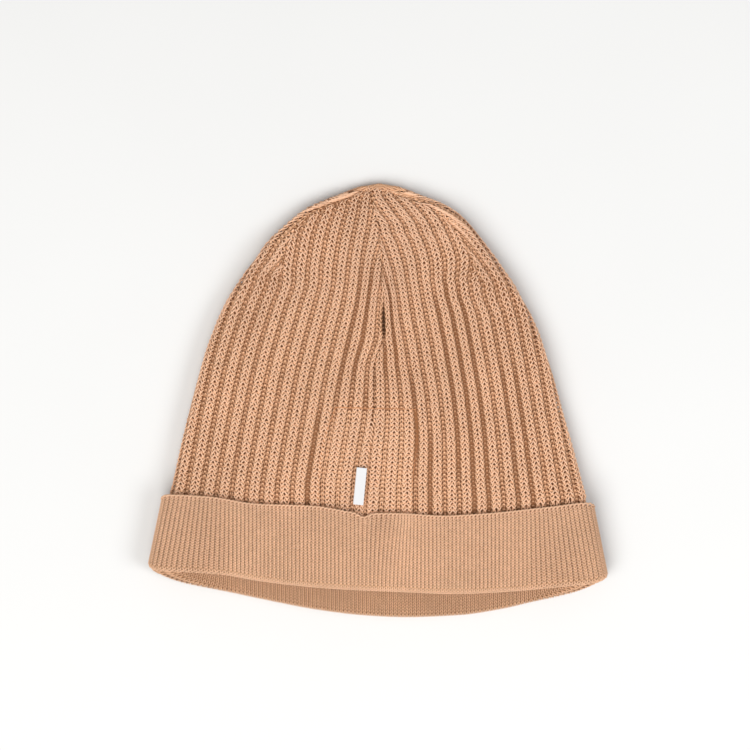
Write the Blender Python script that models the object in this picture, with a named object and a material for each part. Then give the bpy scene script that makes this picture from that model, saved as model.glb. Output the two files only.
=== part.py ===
"""Rib-knit beanie with a turned-up cuff, lying flat on its back.

The crown's tip points to +Y, the mouth opens to -Y and the front faces +Z. Lengths are in
millimetres until an object's mesh is made, and Blender's own units are metres.
"""

import math

import bpy
import numpy as np

MM = 0.001

# Driving dimensions of the lying hat
TIP_Y = 94.6
PANEL_TOP_Y = 90.6
CLOSURE_START_Y = 91.2
CHANNEL_Y = -44.0  # below this the crown is a straight tube, so that the cuff can travel over it
CROWN_HALF_WIDTH = (
    (-96, 91.0), (CHANNEL_Y, 91.0), (-37, 89.4), (-24, 86.2), (-3, 80.8), (18, 75.2), (40, 66.2),
    (60, 53.6), (75, 41.6), (84, 30.8), (89.5, 18.5), (93, 9.5), (TIP_Y, 2.6),
)
FRONT_HEIGHT = ((-96, 16.0), (-42, 16.0), (0, 15.0), (30, 13.8), (60, 11.5), (80, 8.8), (TIP_Y, 4.6))
BACK_HEIGHT = ((-96, 3.0), (-43, 3.0), (-28, 1.0), (TIP_Y, 1.0))
LEAN = ((-96, 0.0), (CHANNEL_Y, 0.0), (0, -1.1), (TIP_Y, -1.1))
SIDE_ROUND = 4.2  # radius that the side folds keep outside the innermost layer
SIDE_RISE = 1.0
BACK_FLAT = 0.86  # share of the half width over which the back is flat
DOME_POWER = 2.5

# Fabric thicknesses and the clearances between layers
CROWN_HALF_THICK = 1.0
LAYER_GAP = 0.4
CUFF_THICK = 1.6
PANEL_EDGE_GAP = 0.75
SIDE_FOLD_GAP = 0.35

# The cuff's fold and top edge, as heights across the hat from its left side fold (-1) to its right (1)
FRONT_FOLD = (
    (-1, -74.7), (-0.75, -76.2), (-0.53, -79.6), (-0.2, -82.7), (0.1, -84.0), (0.35, -84.9),
    (0.6, -84.0), (0.88, -81.2), (1, -79.2),
)
BACK_FOLD = (
    (-1, -74.7), (-0.76, -81.8), (-0.54, -87.6), (-0.32, -92.0), (-0.1, -94.6), (0.1, -95.4),
    (0.35, -94.5), (0.55, -91.8), (0.75, -87.4), (0.88, -84.0), (1, -79.2),
)
FRONT_TOP = (
    (-1, -42.4), (-0.79, -43.3), (-0.57, -46.4), (-0.3, -47.4), (-0.07, -50.4), (0.1, -50.6),
    (0.3, -51.0), (0.5, -50.0), (0.8, -47.3), (1, -46.0),
)
BACK_TOP = ((-1, -42.4), (-0.5, -56.0), (0, -61.8), (0.5, -59.0), (1, -46.0))
FLARE_AT_FOLD = 6.3  # how far the cuff spreads sideways beyond the crown
FLARE_AT_TOP = 1.0
FLARE_START = 0.45  # share of the half width at which the spread begins
FLARE_FULL = 0.93
CROWN_EDGE_ABOVE_FOLD = 3.5
INNER_LAYER_DROP = 2.0

# The centre seam, and the seams of the two darts that show, as (x, y)
CENTRE_SEAM = (
    (-8.0, -84), (-6.2, -51), (-4.0, -24), (-1.8, -3), (-1.8, 13), (2.4, 29), (2.2, 44),
    (1.3, 66), (-0.9, 81), (-2.6, PANEL_TOP_Y),
)
LEFT_DART = ((-42.7, 57.0), (-40.5, 67.0), (-36.0, 76.0), (-27.0, 83.0), (-12.0, 89.0))
RIGHT_DART = ((46.0, 50.0), (42.0, 60.0), (37.0, 69.5), (31.5, 77.5), (23.0, 84.5), (9.0, 89.4))
BACK_DART = ((-1.5, 30.0), (-1.2, 60.0), (-1.1, 88.0))
SEAM_RADIUS = 0.45
THREAD_RADIUS = 0.3
TRIM_CLEARANCE = 0.32

# The backing patch inside the front, and the folded label sewn into the centre seam
PATCH_OUTLINE = (
    (-26.6, -47.0), (-24.6, -22.4), (-18.5, -3.4), (16.3, -4.8), (17.2, -14.8), (15.2, -34.3), (14.4, -47.0),
)
PATCH_THICK = 0.8
LABEL_HINGE_TOP = (-4.7, -30.1)
LABEL_HINGE_FOOT = (-6.3, -46.2)
LABEL_WIDTH = 4.5
LABEL_THICK = 0.7
LABEL_AXIS_LIFT = 1.0

AROUND = 44  # facets round the hat
SIDE_CROWDING = 0.62  # how much closer the facets stand at the side folds
TIP_FACETS = 24
SAMPLES = 720  # points on each section's working curve

TAN = (0.66, 0.39, 0.22)
DEEP_TAN = (0.52, 0.29, 0.16)
OFF_WHITE = (0.86, 0.86, 0.84)


def curve_at(points, at):
    """A smooth curve through (position, value) points, without overshoot."""
    position, value = np.array(points, float).T
    slope = np.diff(value) / np.diff(position)
    tangent = np.zeros_like(value)
    same_way = slope[:-1] * slope[1:] > 0
    tangent[1:-1] = np.where(same_way, 2 * slope[:-1] * slope[1:] / (slope[:-1] + slope[1:] + 1e-12), 0)
    tangent[0], tangent[-1] = slope[0], slope[-1]
    at = np.clip(np.asarray(at, float), position[0], position[-1])
    i = np.clip(np.searchsorted(position, at) - 1, 0, len(slope) - 1)
    run = position[i + 1] - position[i]
    t = (at - position[i]) / run
    return (
        (2 * t**3 - 3 * t**2 + 1) * value[i]
        + (t**3 - 2 * t**2 + t) * run * tangent[i]
        + (3 * t**2 - 2 * t**3) * value[i + 1]
        + (t**3 - t**2) * run * tangent[i + 1]
    )


def section(y):
    """The crown's middle surface at height y: x, z and the outward normal along one turn.

    The turn starts at the right side fold, crosses the front to the left fold and returns
    over the back. Each half is spaced evenly, so a share of the turn is a share of the girth.
    """
    high = float(curve_at(FRONT_HEIGHT, y))
    low = float(curve_at(BACK_HEIGHT, y))
    rounding = min(SIDE_ROUND, 0.42 * (high - low))
    rise = min(SIDE_RISE, 0.1 * (high - low))
    half_width = float(curve_at(CROWN_HALF_WIDTH, y)) - rounding
    half_width = max(half_width, 0.3)
    angle = np.linspace(0, 2 * math.pi, SAMPLES, endpoint=False)
    side = low + rounding + rise
    s = np.cos(angle)
    dome = np.sqrt(np.clip(1 - np.abs(s) ** DOME_POWER, 0, 1))
    floor = np.sqrt(1 - np.clip((np.abs(s) - BACK_FLAT) / (1 - BACK_FLAT), 0, 1) ** 2)
    x = half_width * s
    z = np.where(angle <= math.pi, side + (high - rounding - side) * dome, side - rise * floor)
    dx = np.roll(x, -1) - np.roll(x, 1)
    dz = np.roll(z, -1) - np.roll(z, 1)
    length = np.hypot(dx, dz)
    nx, nz = dz / length, -dx / length
    return x + rounding * nx + float(curve_at(LEAN, y)), z + rounding * nz, nx, nz


def around(y, share):
    """Point and in-plane normal on the middle surface at height y and at a share of the turn."""
    x, z, nx, nz = section(y)
    half = SAMPLES // 2
    closed = [np.append(v, v[0]) for v in (x, z, nx, nz)]
    step = np.hypot(np.diff(closed[0]), np.diff(closed[1]))
    run = np.concatenate([[0], np.cumsum(step)])
    share = share % 1.0
    if share <= 0.5:
        target = run[half] * share / 0.5
    else:
        target = run[half] + (run[-1] - run[half]) * (share - 0.5) / 0.5
    px, pz, qx, qz = (np.interp(target, run, v) for v in closed)
    length = math.hypot(qx, qz)
    return np.array([px, y, pz]), np.array([qx / length, 0, qz / length])


def surface_normal(y, share):
    """The middle surface's own normal, which leans towards the tip where the crown narrows."""
    above, _ = around(y + 0.4, share)
    below, _ = around(y - 0.4, share)
    _, normal = around(y, share)
    normal[1] = -np.dot(normal, above - below) / 0.8
    return normal / np.linalg.norm(normal)


def share_at(x, y, front=True):
    """The share of the turn at which the middle surface passes x, on the front or the back."""
    px, pz, _, _ = section(y)
    half = SAMPLES // 2
    run_all = np.concatenate([[0], np.cumsum(np.hypot(np.diff(px), np.diff(pz)))])
    last = run_all[-1] + math.hypot(px[0] - px[-1], pz[0] - pz[-1])
    if front:
        run = run_all[: half + 1] / run_all[half]
        return 0.5 * float(np.interp(-x, -px[: half + 1], run))
    run = (run_all[half:] - run_all[half]) / (last - run_all[half])
    return 0.5 + 0.5 * float(np.interp(x, px[half:], run))


def station(k):
    """The share of the turn of the k-th of the facet lines that run from the mouth to the tip."""
    turn = k / AROUND
    return turn - SIDE_CROWDING * math.sin(4 * math.pi * turn) / (4 * math.pi)


def across_at(share):
    """How far across the hat a share of the turn lies, from -1 at the left fold to 1 at the right."""
    share = share % 1.0
    return 1 - 4 * share if share <= 0.5 else 4 * share - 3


def fold_y(share):
    outline = FRONT_FOLD if share % 1.0 <= 0.5 else BACK_FOLD
    return float(curve_at(outline, across_at(share)))


def top_y(share):
    outline = FRONT_TOP if share % 1.0 <= 0.5 else BACK_TOP
    return float(curve_at(outline, across_at(share)))


def on_front(x, y, offset):
    """A point above (x, y) on the front, at an offset outside the crown's middle surface."""
    point, normal = around(y, share_at(x, y))
    return point + normal * offset


def signed_volume(vertices, faces):
    """Positive where a closed mesh's faces point out."""
    total = 0.0
    for face in faces:
        for second, third in zip(face[1:], face[2:]):
            total += np.dot(vertices[face[0]], np.cross(vertices[second], vertices[third]))
    return total / 6


def make_object(name, vertices, faces, colour, roughness=0.9, origin=(0, 0, 0)):
    """A named object with its own material, its origin at a point given in millimetres."""
    origin = np.array(origin, float)
    if signed_volume(vertices, faces) < 0:
        faces = [tuple(reversed(face)) for face in faces]
    mesh = bpy.data.meshes.new(name)
    mesh.from_pydata([tuple((np.array(v, float) - origin) * MM) for v in vertices], [], faces)
    mesh.validate()
    mesh.shade_smooth()
    mesh.set_sharp_from_angle(angle=math.radians(50))
    material = bpy.data.materials.new(name)
    material.use_nodes = True
    shader = material.node_tree.nodes["Principled BSDF"]
    shader.inputs["Base Color"].default_value = (*colour, 1)
    shader.inputs["Roughness"].default_value = roughness
    shader.inputs["Metallic"].default_value = 0.0
    mesh.materials.append(material)
    obj = bpy.data.objects.new(name, mesh)
    obj.location = tuple(origin * MM)
    bpy.context.scene.collection.objects.link(obj)
    return obj


def shell_between(outer, inner):
    """Vertices and faces of the closed shell between two open grids of the same shape."""
    rows, columns = outer.shape[:2]
    vertices = [*outer.reshape(-1, 3), *inner.reshape(-1, 3)]
    top = rows * columns
    faces = []
    for r in range(rows - 1):
        for c in range(columns - 1):
            a, b = r * columns + c, r * columns + c + 1
            d, e = a + columns, b + columns
            faces.append((a, b, e, d))
            faces.append((top + a, top + d, top + e, top + b))
    rim = [c for c in range(columns)]
    rim += [r * columns + columns - 1 for r in range(1, rows)]
    rim += [(rows - 1) * columns + c for c in range(columns - 2, -1, -1)]
    rim += [r * columns for r in range(rows - 2, 0, -1)]
    for a, b in zip(rim, rim[1:] + rim[:1]):
        faces.append((b, a, top + a, top + b))
    return vertices, faces


def ring_of(profiles):
    """Closed band swept round the turn: profiles[k] holds the profile's points at station k."""
    stations, count = len(profiles), len(profiles[0])
    vertices = [p for profile in profiles for p in profile]
    faces = []
    for k in range(stations):
        n = (k + 1) % stations
        for i in range(count):
            j = (i + 1) % count
            faces.append((k * count + i, k * count + j, n * count + j, n * count + i))
    return vertices, faces


def tube_along(points, radius, sides=6, closed=False):
    """A tube along a path in space, with capped ends unless it closes on itself."""
    points = np.array(points, float)
    if closed:
        tangent = np.roll(points, -1, axis=0) - np.roll(points, 1, axis=0)
    else:
        tangent = np.gradient(points, axis=0)
    tangent /= np.linalg.norm(tangent, axis=1, keepdims=True)
    up = np.array([0.0, 0.0, 1.0])
    rings = []
    for point, direction in zip(points, tangent):
        across = np.cross(up, direction)
        across /= np.linalg.norm(across)
        over = np.cross(direction, across)
        turn = [2 * math.pi * (i + 0.5) / sides for i in range(sides)]
        rings.append([point + radius * (math.cos(t) * across + math.sin(t) * over) for t in turn])
    vertices, faces = ring_of(rings)
    if not closed:
        wall = sides * (len(rings) - 1)
        last = (len(rings) - 1) * sides
        faces = faces[:wall]
        faces.append(tuple(reversed(range(sides))))
        faces.append(tuple(range(last, last + sides)))
    return vertices, faces


def smooth_path(points, count):
    """Evenly spaced points on a smooth curve through (x, y) points that run up or down in y."""
    points = sorted(points, key=lambda p: p[1])
    heights = np.linspace(points[0][1], points[-1][1], count)
    across = curve_at([(y, x) for x, y in points], heights)
    return list(zip(across, heights))


PANEL_ROWS = (0.0, 0.5, 1.0)
UPPER_HEIGHTS = (-37, -28, -12, 6, 24, 40, 54, 65, 74, 81, 86.5, PANEL_TOP_Y)


def row_heights(share):
    """The heights of a crown panel's rows at a share of the turn, from its lower edge to its top."""
    edge = fold_y(share) + CROWN_EDGE_ABOVE_FOLD
    return [edge + (CHANNEL_Y - edge) * part for part in PANEL_ROWS] + list(UPPER_HEIGHTS)


def offset_point(y, share, offset):
    """A point outside the middle surface by offset, and not below the surface it lies on."""
    point = around(y, share)[0] + surface_normal(y, share) * offset
    point[2] = max(point[2], 0)
    return point


def panel_places(first_share, last_share, first_line, last_line):
    """Height and share of each grid point of a panel; the two functions give its edges' shares."""
    low, high = first_share(CHANNEL_Y), last_share(CHANNEL_Y)
    places = []
    for k in range(first_line, last_line + 1):
        part = (station(k) - station(first_line)) / (station(last_line) - station(first_line))
        heights = row_heights(low + (high - low) * part)
        places.append([(y, first_share(y) * (1 - part) + last_share(y) * part) for y in heights])
    return [list(row) for row in zip(*places)]


def seam_x(y):
    return float(curve_at([(py, px) for px, py in CENTRE_SEAM], y))


def side_gap(y):
    """The share of the turn that keeps a panel's edge off the side fold's centre line."""
    x, z, _, _ = section(y)
    girth = np.hypot(np.diff(x), np.diff(z)).sum()
    return SIDE_FOLD_GAP / girth


def make_panel(name, first_share, last_share, first_line, last_line):
    places = panel_places(first_share, last_share, first_line, last_line)
    outer = np.array([[offset_point(y, s, CROWN_HALF_THICK) for y, s in row] for row in places])
    inner = np.array([[offset_point(y, s, -CROWN_HALF_THICK) for y, s in row] for row in places])
    vertices, faces = shell_between(outer, inner)
    return make_object(name, vertices, faces, TAN)


def make_crown():
    def right_of_seam(y):
        return share_at(seam_x(y) + PANEL_EDGE_GAP, y)

    def left_of_seam(y):
        return share_at(seam_x(y) - PANEL_EDGE_GAP, y)

    def left_fold_front(y):
        return 0.5 - side_gap(y)

    def left_fold_back(y):
        return 0.5 + side_gap(y)

    def right_fold_back(y):
        return 1 - side_gap(y)

    quarter, half = AROUND // 4, AROUND // 2
    make_panel("crown_front_right_panel", side_gap, right_of_seam, 0, quarter)
    make_panel("crown_front_left_panel", left_of_seam, left_fold_front, quarter, half)
    make_panel("crown_back_panel", left_fold_back, right_fold_back, half, AROUND)


def make_tip_closure():
    """The gathered end of the crown: a small solid cap between the panels' top edges."""
    heights = (CLOSURE_START_Y, 92.2, 93.2, 94.0, TIP_Y)
    shares = [k / TIP_FACETS for k in range(TIP_FACETS)]
    outer = np.array([[offset_point(y, s, CROWN_HALF_THICK * 0.95) for s in shares] for y in heights])
    rings, count = outer.shape[:2]
    vertices = [*outer.reshape(-1, 3)]
    faces = []
    for r in range(rings - 1):
        for c in range(count):
            n = (c + 1) % count
            faces.append((r * count + c, r * count + n, (r + 1) * count + n, (r + 1) * count + c))
    faces.append(tuple(reversed(range(count))))
    faces.append(tuple(range((rings - 1) * count, rings * count)))
    return make_object("crown_tip_closure", vertices, faces, TAN)


def cuff_point(share, offset, y, flare):
    """A point of the cuff: outside the crown's middle surface by offset, and spread at the sides."""
    point, normal = around(min(y, CHANNEL_Y), share)
    point = point + normal * offset
    out = abs(point[0]) / CROWN_HALF_WIDTH[0][1]
    spread = min(max((out - FLARE_START) / (FLARE_FULL - FLARE_START), 0), 1)
    spread = spread * spread * (3 - 2 * spread)
    return np.array([point[0] + flare * math.copysign(spread, point[0]), y, point[2]])


def make_cuff_outer_layer():
    """The turned-up layer, with the fold at its foot that curls in under the crown's edge."""
    inside = CROWN_HALF_THICK + LAYER_GAP
    outside = inside + CUFF_THICK
    profile = (  # offset, height above the fold or below the top edge, and share of the height
        (outside, -1.5, 1.0), (outside, 0, 0.5), (outside, 2.4, 0.0), (outside - 0.7, 0.7, 0.0),
        (outside - 2.2, 0.0, 0.0), (-0.9, 0.0, 0.0), (-0.9, 1.6, 0.0), (inside - 0.8, 1.6, 0.0),
        (inside, 3.2, 0.0), (inside, 0, 0.5), (inside, -1.5, 1.0),
    )
    stations = []
    for k in range(AROUND):
        share = station(k)
        low, high = fold_y(share), top_y(share)
        row = []
        for offset, shift, part in profile:
            y = low + (high - low) * part + shift
            held = max(offset - inside + 1.0, 0) / (1.0 + CUFF_THICK) if offset < inside else 1.0
            flare = (FLARE_AT_FOLD + (FLARE_AT_TOP - FLARE_AT_FOLD) * part) * held
            row.append(cuff_point(share, offset, y, flare))
        stations.append(row)
    vertices, faces = ring_of(stations)
    return make_object("cuff_outer_layer", vertices, faces, TAN)


def make_cuff_inner_layer():
    """The layer that lines the crown's edge inside the mouth."""
    outside = -(CROWN_HALF_THICK + LAYER_GAP)
    inside = outside - CUFF_THICK
    profile = ((outside, 1), (outside, 0), (inside, 0), (inside, 1))
    stations = []
    for k in range(AROUND):
        share = station(k)
        low, high = fold_y(share) + 0.2, top_y(share) - INNER_LAYER_DROP
        stations.append([cuff_point(share, o, low + (high - low) * part, 0) for o, part in profile])
    vertices, faces = ring_of(stations)
    return make_object("cuff_inner_layer", vertices, faces, DEEP_TAN)


def make_cuff_bound_edge():
    """The bound-off chain along the cuff's free edge."""
    middle = CROWN_HALF_THICK + LAYER_GAP + CUFF_THICK / 2
    path = []
    for k in range(AROUND):
        share = station(k)
        path.append(cuff_point(share, middle, top_y(share) - 0.5, FLARE_AT_TOP))
    vertices, faces = tube_along(path, 0.62, closed=True)
    return make_object("cuff_bound_edge", vertices, faces, DEEP_TAN)


def make_cuff_seam():
    """The closing stitches of the cuff's tube, in line with the centre seam."""
    lift = CROWN_HALF_THICK + LAYER_GAP + CUFF_THICK + TRIM_CLEARANCE + THREAD_RADIUS
    path = []
    for y in np.linspace(-79.0, -54.5, 8):
        x = seam_x(y)
        share = share_at(x, CHANNEL_Y)
        path.append(cuff_point(share, lift, y, 0))
    vertices, faces = tube_along(path, THREAD_RADIUS)
    return make_object("cuff_front_seam", vertices, faces, DEEP_TAN)


def make_surface_seam(name, points, radius, lift, count):
    """Stitches along a path on the front of the crown."""
    path = [on_front(x, y, lift) for x, y in smooth_path(points, count)]
    vertices, faces = tube_along(path, radius)
    return make_object(name, vertices, faces, DEEP_TAN)


def make_centre_seam():
    """The linked seam that closes the crown's front, in the slot between the two front panels."""
    heights = row_heights(share_at(seam_x(CHANNEL_Y), CHANNEL_Y))
    vertices, faces = tube_along([on_front(seam_x(y), y, 0) for y in heights], SEAM_RADIUS)
    return make_object("centre_seam", vertices, faces, DEEP_TAN)


def make_dart_seams():
    lift = CROWN_HALF_THICK + TRIM_CLEARANCE + THREAD_RADIUS
    make_surface_seam("left_dart_seam", LEFT_DART, THREAD_RADIUS, lift, 9)
    make_surface_seam("right_dart_seam", RIGHT_DART, THREAD_RADIUS, lift, 9)
    inside = -(CROWN_HALF_THICK + TRIM_CLEARANCE + THREAD_RADIUS)
    path = []
    for x, y in smooth_path(BACK_DART, 9):
        point, normal = around(y, share_at(x, y, front=False))
        path.append(point + normal * inside)
    vertices, faces = tube_along(path, THREAD_RADIUS)
    make_object("back_dart_seam", vertices, faces, DEEP_TAN)


def patch_edges(y):
    """Left and right edge of the patch at a height."""
    left = [(py, px) for px, py in PATCH_OUTLINE[:3]]
    right = [(py, px) for px, py in reversed(PATCH_OUTLINE[3:])]
    return float(curve_at(left, y)), float(curve_at(right, y))


def make_inner_patch():
    outside = -(CROWN_HALF_THICK + TRIM_CLEARANCE)
    outer, inner = [], []
    for y in np.linspace(-47.0, -4.0, 7):
        left, right = patch_edges(y)
        across = np.linspace(right, left, 8)
        outer.append([on_front(x, y, outside) for x in across])
        inner.append([on_front(x, y, outside - PATCH_THICK) for x in across])
    vertices, faces = shell_between(np.array(outer), np.array(inner))
    return make_object("inner_patch", vertices, faces, DEEP_TAN)


def make_patch_stitching():
    """The stitch line that holds the patch, showing on the outside along three of its edges."""
    lift = CROWN_HALF_THICK + TRIM_CLEARANCE + THREAD_RADIUS
    corners = [np.array(p, float) for p in PATCH_OUTLINE]
    path = []
    for start, end in zip(corners, corners[1:]):
        steps = max(2, round(float(np.linalg.norm(end - start)) / 6))
        path += [start + (end - start) * k / steps for k in range(steps)]
    path.append(corners[-1])
    vertices, faces = tube_along([on_front(x, y, lift) for x, y in path], THREAD_RADIUS)
    return make_object("patch_stitching", vertices, faces, DEEP_TAN)


def label_axis():
    """The hinge line of the label, where the centre seam holds it."""
    top = on_front(*LABEL_HINGE_TOP, CROWN_HALF_THICK + LABEL_AXIS_LIFT)
    foot = on_front(*LABEL_HINGE_FOOT, CROWN_HALF_THICK + LABEL_AXIS_LIFT)
    return foot, top


def make_woven_label():
    """The folded label lying to the left of its hinge line, with a rounded outer fold."""
    foot, top = label_axis()
    along = (top - foot) / np.linalg.norm(top - foot)
    across = np.cross(along, np.array([0.0, 0.0, 1.0]))
    across = -across / np.linalg.norm(across)
    up = np.cross(across, along)
    up = up if up[2] > 0 else -up
    half = LABEL_THICK / 2
    profile = [(0, half), (0, -half), (LABEL_WIDTH - half, -half)]
    profile += [(LABEL_WIDTH - half + half * math.sin(t), -half * math.cos(t)) for t in (0.8, 1.57, 2.34)]
    profile += [(LABEL_WIDTH - half, half)]
    ends = []
    for end in (foot, top):
        ends.append([end + across * a + up * b for a, b in profile])
    count = len(profile)
    vertices = ends[0] + ends[1]
    faces = [(i, (i + 1) % count, count + (i + 1) % count, count + i) for i in range(count)]
    faces.append(tuple(reversed(range(count))))
    faces.append(tuple(range(count, 2 * count)))
    return make_object("woven_label", vertices, faces, OFF_WHITE, 0.7, origin=foot)


def make_label_stitching():
    """The thread that holds the label's edge to the centre seam."""
    radius = 0.15
    lift = CROWN_HALF_THICK + 0.3 + radius
    foot, top = np.array(LABEL_HINGE_FOOT), np.array(LABEL_HINGE_TOP)
    path = [on_front(*(foot + (top - foot) * t), lift) for t in np.linspace(0.04, 0.96, 6)]
    path = [p + np.array([0.5, 0, 0]) for p in path]
    vertices, faces = tube_along(path, radius)
    return make_object("label_stitching", vertices, faces, OFF_WHITE, 0.7)


def clear_scene():
    for obj in list(bpy.data.objects):
        bpy.data.objects.remove(obj, do_unlink=True)


def main():
    clear_scene()
    make_crown()
    make_tip_closure()
    make_cuff_outer_layer()
    make_cuff_inner_layer()
    make_cuff_bound_edge()
    make_cuff_seam()
    make_centre_seam()
    make_dart_seams()
    make_inner_patch()
    make_patch_stitching()
    make_woven_label()
    make_label_stitching()


main()
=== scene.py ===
"""Looks of the lying rib-knit beanie: every stitch is real yarn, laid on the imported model's frame.

Lengths are in millimetres until a mesh is made. A place is a height y and a share of the turn
round the hat: 0 at the right fold, 0.25 at the front's middle, 0.5 at the left fold. "Rib" counts
ribs from left to right. Each has two knit wales, with a whole number between them, and one purl.
"""

import math

import bpy
import numpy as np
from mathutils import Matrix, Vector


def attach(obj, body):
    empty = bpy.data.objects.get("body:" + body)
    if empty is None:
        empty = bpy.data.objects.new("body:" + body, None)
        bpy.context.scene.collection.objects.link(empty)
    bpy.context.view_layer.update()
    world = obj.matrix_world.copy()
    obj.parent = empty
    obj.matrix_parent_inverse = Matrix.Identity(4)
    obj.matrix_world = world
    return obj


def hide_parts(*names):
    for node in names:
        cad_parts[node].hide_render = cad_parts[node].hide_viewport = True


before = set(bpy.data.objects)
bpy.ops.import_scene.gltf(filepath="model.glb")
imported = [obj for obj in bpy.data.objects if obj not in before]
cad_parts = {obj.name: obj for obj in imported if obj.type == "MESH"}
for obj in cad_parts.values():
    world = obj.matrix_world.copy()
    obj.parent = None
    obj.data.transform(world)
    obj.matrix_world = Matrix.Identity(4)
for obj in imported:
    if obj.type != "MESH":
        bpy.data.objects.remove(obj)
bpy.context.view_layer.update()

MM = 0.001

# The lying hat's shape, as in the CAD model
TIP_Y = 94.6
CHANNEL_Y = -44
CROWN_HALF_WIDTH = (  # (height, value) pairs, as in the next three
    (-96, 91), (CHANNEL_Y, 91), (-37, 89.4), (-24, 86.2), (-3, 80.8), (18, 75.2), (40, 66.2),
    (60, 53.6), (75, 41.6), (84, 30.8), (89.5, 18), (93, 8.8), (TIP_Y, 2.6),
)
FRONT_HEIGHT = ((-96, 16), (-42, 16), (0, 15), (30, 13.8), (60, 11.5), (80, 8.8), (TIP_Y, 4.6))
BACK_HEIGHT = ((-96, 3), (-43, 3), (-28, 1), (TIP_Y, 1))
LEAN = ((-96, 0), (CHANNEL_Y, 0), (0, -1.1), (66, -1.1), (81, 0.5), (TIP_Y, 0.6))
SIDE_ROUND = 4.2
SIDE_RISE = 1
BACK_FLAT = 0.86
DOME_POWER = 2.5

# The cuff's fold and top edge: (how far across, height) pairs, from the left fold to the right
FRONT_FOLD = (
    (-1, -74.7), (-0.75, -76.2), (-0.53, -79.6), (-0.2, -82.7), (0.1, -84), (0.35, -84.9),
    (0.6, -84), (0.88, -81.2), (1, -79.2),
)
BACK_FOLD = (
    (-1, -74.7), (-0.95, -77.2), (-0.79, -82.2), (-0.53, -87.7), (-0.29, -92), (-0.06, -94.6),
    (0.13, -95.4), (0.38, -94.5), (0.58, -91.8), (0.77, -87.4), (0.88, -84), (1, -79.2),
)
FRONT_TOP = (
    (-1, -44.4), (-0.95, -42.6), (-0.79, -43.3), (-0.57, -46.4), (-0.3, -47.4), (-0.07, -50.4),
    (0.1, -50.6), (0.3, -51.6), (0.5, -50.7), (0.8, -47.8), (0.95, -46.2), (1, -48),
)
BACK_TOP = ((-1, -44.4), (-0.5, -56), (0, -61.8), (0.5, -59), (1, -48))

# How far the cuff's ends stand out, and where across the hat that starts and is full
FLARE_AT_FOLD = 7.2
FLARE_AT_TOP = 1.4
FLARE_START = 0.68
FLARE_FULL = 0.98

# Lines of (x, y) points on the front or the back
CENTRE_SEAM = (
    (-8, -84), (-6.2, -51), (-4, -24), (-1.8, -3), (-1.8, 13), (2.4, 29), (2.2, 44),
    (1.3, 66), (-0.9, 81), (-2.6, 90.6), (-2.8, TIP_Y),
)
LEFT_DART = ((-42.7, 57), (-40.5, 67), (-36, 76), (-27, 83), (-12, 89), (-7, 91.5))
RIGHT_DART = ((46, 50), (42, 60), (37, 69.5), (31.5, 77.5), (23, 84.5), (9, 89.4), (5, 91.5))
BACK_MIDDLE = ((-1.5, -96), (-1.5, 30), (-1.2, 60), (-1.1, TIP_Y))
PATCH_LEFT = ((-26.6, -47), (-24.6, -22.4), (-18.5, -3.4))
PATCH_RIGHT = ((14.4, -47), (15.2, -34.3), (17.2, -14.8), (16.3, -4.8))
PATCH_TOP_Y = -4
PATCH_FOOT_Y = -47
LABEL_HINGE_TOP = (-4.7, -30.1)
LABEL_HINGE_FOOT = (-6.3, -46.2)
LABEL_WIDTH = 4.5
LABEL_LIFT = 2
LABEL_FOLD_RADIUS = 0.24
LABEL_THICK = 0.2

# Which rib lies on each landmark line, by height
RIB_AT_LEFT_FOLD = (
    (-96, -1.9), (-42, -1.9), (-3, -1.7), (23, -1.5), (50, -1.05), (63, -0.5), (76, 0.05), (90, -0.1),
)
RIB_LEFT_OF_SEAM = (
    (-96, 11.4), (-36, 11.3), (-18, 11.15), (0, 11.05), (36, 11), (44, 10.9), (50, 10.65), (57, 10.4),
    (63, 10), (70, 9.5), (77, 9.1), (85, 8.6), (92, 8.3),
)
RIB_RIGHT_OF_SEAM = (
    (-96, 11.5), (10, 11.5), (17, 11.65), (22, 12), (27, 12.45), (44, 12.55), (50, 12.9), (57, 13.4),
    (63, 13.8), (70, 14.2), (77, 14.5), (82, 15), (92, 15.6),
)
RIB_AT_RIGHT_FOLD = (
    (-96, 26.5), (-42, 26.5), (-3, 26), (23, 25.5), (36, 24.95), (50, 24.3), (63, 23.95), (76, 23.7),
    (90, 23.9),
)
LEFT_DART_START = 2.5
LEFT_DART_OUTER = ((54, 2.5), (63, 1.35), (76, 0.7), (90, 0.4))
LEFT_DART_INNER = ((54, 2.5), (63, 2.55), (76, 3), (80, 3.4), (84, 4.3), (89, 6.5), (92, 7.2))
RIGHT_DART_START = 21.5
RIGHT_DART_INNER = ((52, 21.5), (63, 20.45), (76, 20), (84.5, 19.4), (89.4, 17.8), (92, 16.8))
RIGHT_DART_OUTER = ((52, 21.5), (63, 22), (76, 22.6), (84.5, 23), (92, 23.5))
RIB_LEFT_OF_BACK = (
    (-96, -15.5), (0, -15.5), (30, -13.85), (50, -11.9), (63, -10), (76, -7.7), (84, -6.2), (90, -4.1),
    (94, -2.4),
)
RIB_RIGHT_OF_BACK = (
    (-96, 40.5), (0, 40.5), (30, 38), (50, 35.1), (63, 33.4), (76, 31.8), (84, 30.3), (90, 28.2),
    (94, 26.5),
)

# Purl channels that lean into the seam; the ribs between are narrower
LEFT_GUIDE_RIB = 8.5
LEFT_GUIDE = (
    (-24.2, -36), (-21.3, -18), (-18.2, 0), (-16.8, 8), (-12.8, 26), (-8.8, 44), (-6.5, 63), (-5.3, 70),
    (-4, 77), (-3.2, 85), (-3.4, 92),
)
RIGHT_GUIDE_RIB = 14.5
RIGHT_GUIDE = (
    (16.4, -36), (17, -18), (15.9, 0), (13.2, 17), (11.8, 26), (9.9, 35), (8.8, 44), (6.6, 57),
    (4.8, 63), (2.4, 70), (0, 74), (-3.5, 92),
)

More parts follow.
